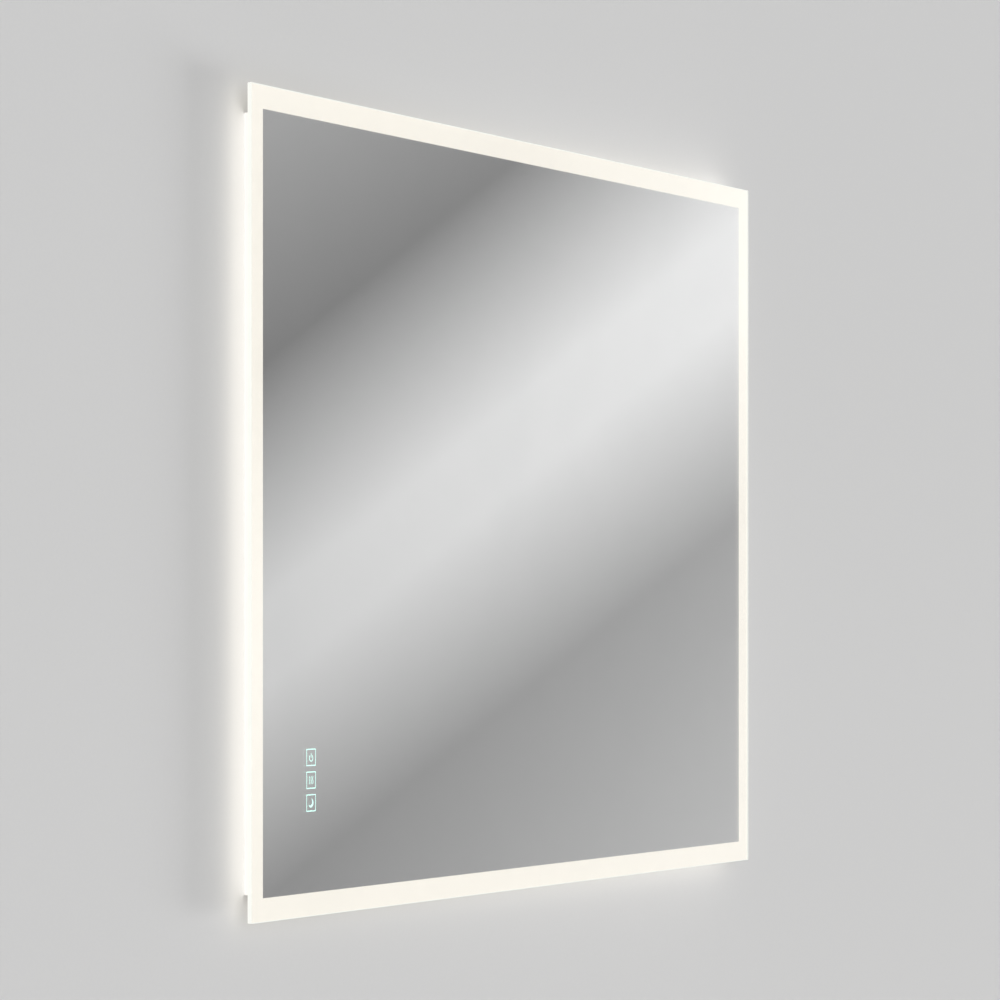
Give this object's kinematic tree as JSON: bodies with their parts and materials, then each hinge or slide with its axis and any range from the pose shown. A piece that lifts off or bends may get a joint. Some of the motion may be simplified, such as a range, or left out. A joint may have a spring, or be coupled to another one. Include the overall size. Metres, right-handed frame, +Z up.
{
  "type": "lighted bathroom mirror",
  "caption": "Frameless landscape wall mirror with a lit frosted border, glowing sides, touch keys, demister pad, open electronics tray and a hook-on wall rail with level screws.",
  "frame": {"origin": "on the wall face, at the middle of the wall rail's line of slots", "axes": "+X along the wall to the viewer's right, +Y into the wall, +Z up; the mirror faces -Y"},
  "size_m": [1.2, 0.028, 0.9],
  "materials": {
    "pane_glass": "clear float glass with a polished edge",
    "silvering": "silvered and painted back",
    "frost": "translucent printed frost, lit from behind",
    "opal": "opal diffuser, lit from inside",
    "key_film": "translucent mint film",
    "anodised": "satin anodised extrusion",
    "galvanised": "galvanised sheet",
    "zinc_screw": "zinc plated",
    "brass": "plain brass",
    "foam": "white closed-cell foam",
    "soft_rubber": "matte black",
    "led_tape": "white tape with phosphor chips",
    "heater_film": "clear film over a printed heating track",
    "white_case": "moulded, fine texture",
    "grey_case": "moulded, fine texture",
    "black_case": "moulded, fine texture",
    "board_green": "solder mask",
    "ferrite": "dull core and tape",
    "lead_jacket": "white flexible jacket",
    "lamp": "small clear lamp"
  },
  "bodies": {
    "wall_rail": {"wall_rail": "galvanised"},
    "hangers": {"hanger_left": "galvanised", "hanger_right": "galvanised"},
    "unit": {"bond_tape": "foam", "bracket_screws": "zinc_screw", "cable_clips": "white_case", "cleat_screws": "zinc_screw", "control_board": "board_green", "control_case": "white_case", "corner_cleats": "galvanised", "cross_bar_lower": "galvanised", "cross_bar_screws": "zinc_screw", "cross_bar_upper": "galvanised", "demister_lead": "lead_jacket", "demister_pad": "heater_film", "diffuser_bottom": "opal", "diffuser_left": "opal", "diffuser_right": "opal", "diffuser_top": "opal", "driver_base": "white_case", "driver_board": "board_green", "driver_cover": "white_case", "driver_screws": "zinc_screw", "driver_transformer": "ferrite", "electronics_tray": "galvanised", "frame_rail_bottom": "anodised", "frame_rail_left": "anodised", "frame_rail_right": "anodised", "frame_rail_top": "anodised", "frosted_band": "frost", "gland_body": "black_case", "gland_dome_nut": "black_case", "gland_lock_nut": "black_case", "gland_seal": "soft_rubber", "hanger_bracket_left": "galvanised", "hanger_bracket_right": "galvanised", "key_lamps": "lamp", "key_legend_film": "key_film", "led_feed_lead": "lead_jacket", "led_strip_bottom": "led_tape", "led_strip_left": "led_tape", "led_strip_right": "led_tape", "led_strip_top": "led_tape", "mains_link_lead": "lead_jacket", "mirror_glass": "pane_glass", "sensor_board": "board_green", "sensor_cover": "black_case", "sensor_housing": "black_case", "sensor_lead": "lead_jacket", "silver_layer": "silvering", "terminal_block": "white_case", "terminal_box": "grey_case", "terminal_clamp_screws": "brass", "touch_electrodes": "brass", "tray_screws": "zinc_screw", "wall_bumpers": "soft_rubber"},
    "level_screw_left": {"level_screw_left": "zinc_screw"},
    "level_screw_right": {"level_screw_right": "zinc_screw"},
    "terminal_lid": {"terminal_lid": "grey_case"}
  },
  "joints": [
    {"name": "lift", "type": "slide", "parent": "wall_rail", "child": "hangers", "axis": [0, 0, 1], "range_m": [0, 0.012]},
    {"name": "level", "type": "slide", "parent": "hangers", "child": "unit", "axis": [0, 0, 1], "range_m": [-0.003, 0.003]},
    {"name": "level_turn_left", "type": "hinge", "parent": "unit", "child": "level_screw_left", "pos_m": [-0.35, -0.0134, -0.01], "axis": [0, 0, 1], "range_deg": [-1080, 1080]},
    {"name": "level_turn_right", "type": "hinge", "parent": "unit", "child": "level_screw_right", "pos_m": [0.35, -0.0134, -0.01], "axis": [0, 0, 1], "range_deg": [-1080, 1080]},
    {"name": "lid_swing", "type": "hinge", "parent": "unit", "child": "terminal_lid", "pos_m": [0.126, -0.0032, -0.3235], "axis": [1, 0, 0], "range_deg": [0, 110]}
  ],
  "couplings": [
    {"joint": "level_turn_left", "follows": "level", "rad_per_m": 6283.2},
    {"joint": "level_turn_right", "follows": "level", "rad_per_m": 6283.2}
  ]
}
